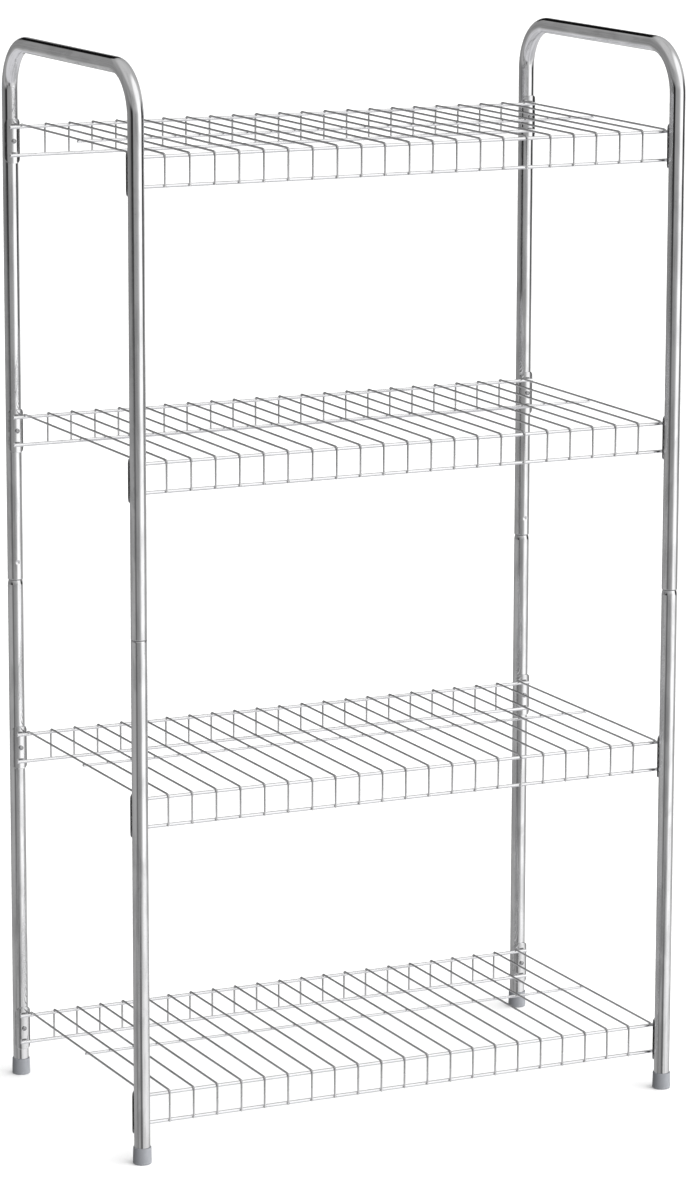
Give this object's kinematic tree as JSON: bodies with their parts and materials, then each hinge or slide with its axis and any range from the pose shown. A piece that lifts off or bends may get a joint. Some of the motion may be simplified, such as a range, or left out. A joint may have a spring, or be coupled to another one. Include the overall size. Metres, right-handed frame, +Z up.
{
  "type": "tiered shoe rack",
  "caption": "Free-standing chromed shoe rack: bent tube end frames with handle tops, open wire shelves with turned-down lips, and plastic foot caps.",
  "frame": {"origin": "on the floor, in the middle of the four feet", "axes": "+Z up, +Y towards the back, +X to the right when the rack is seen from the front"},
  "size_m": [0.6026, 0.3448, 1.085],
  "materials": {
    "chrome_tube": "bright chrome plate on steel tube",
    "chrome_wire": "bright chrome plate on drawn steel wire",
    "bracket_plate": "bright chrome plate on stamped steel",
    "screw_metal": "bright plated steel",
    "foot_plastic": "satin moulded plastic, blue-grey"
  },
  "bodies": {
    "root": {"upper_frame_left": "chrome_tube", "upper_frame_right": "chrome_tube", "lower_post_front_left": "chrome_tube", "lower_post_front_right": "chrome_tube", "lower_post_back_left": "chrome_tube", "lower_post_back_right": "chrome_tube", "foot_cap_front_left": "foot_plastic", "foot_cap_front_right": "foot_plastic", "foot_cap_back_left": "foot_plastic", "foot_cap_back_right": "foot_plastic", "shelf_grid_1": "chrome_wire", "shelf_grid_2": "chrome_wire", "shelf_grid_3": "chrome_wire", "shelf_grid_4": "chrome_wire", "shelf_bracket_1_front_left": "bracket_plate", "shelf_bracket_1_front_right": "bracket_plate", "shelf_bracket_1_back_left": "bracket_plate", "shelf_bracket_1_back_right": "bracket_plate", "shelf_bracket_2_front_left": "bracket_plate", "shelf_bracket_2_front_right": "bracket_plate", "shelf_bracket_2_back_left": "bracket_plate", "shelf_bracket_2_back_right": "bracket_plate", "shelf_bracket_3_front_left": "bracket_plate", "shelf_bracket_3_front_right": "bracket_plate", "shelf_bracket_3_back_left": "bracket_plate", "shelf_bracket_3_back_right": "bracket_plate", "shelf_bracket_4_front_left": "bracket_plate", "shelf_bracket_4_front_right": "bracket_plate", "shelf_bracket_4_back_left": "bracket_plate", "shelf_bracket_4_back_right": "bracket_plate", "bracket_screw_1_front_left": "screw_metal", "bracket_screw_1_front_right": "screw_metal", "bracket_screw_1_back_left": "screw_metal", "bracket_screw_1_back_right": "screw_metal", "bracket_screw_2_front_left": "screw_metal", "bracket_screw_2_front_right": "screw_metal", "bracket_screw_2_back_left": "screw_metal", "bracket_screw_2_back_right": "screw_metal", "bracket_screw_3_front_left": "screw_metal", "bracket_screw_3_front_right": "screw_metal", "bracket_screw_3_back_left": "screw_metal", "bracket_screw_3_back_right": "screw_metal", "bracket_screw_4_front_left": "screw_metal", "bracket_screw_4_front_right": "screw_metal", "bracket_screw_4_back_left": "screw_metal", "bracket_screw_4_back_right": "screw_metal"}
  },
  "joints": []
}
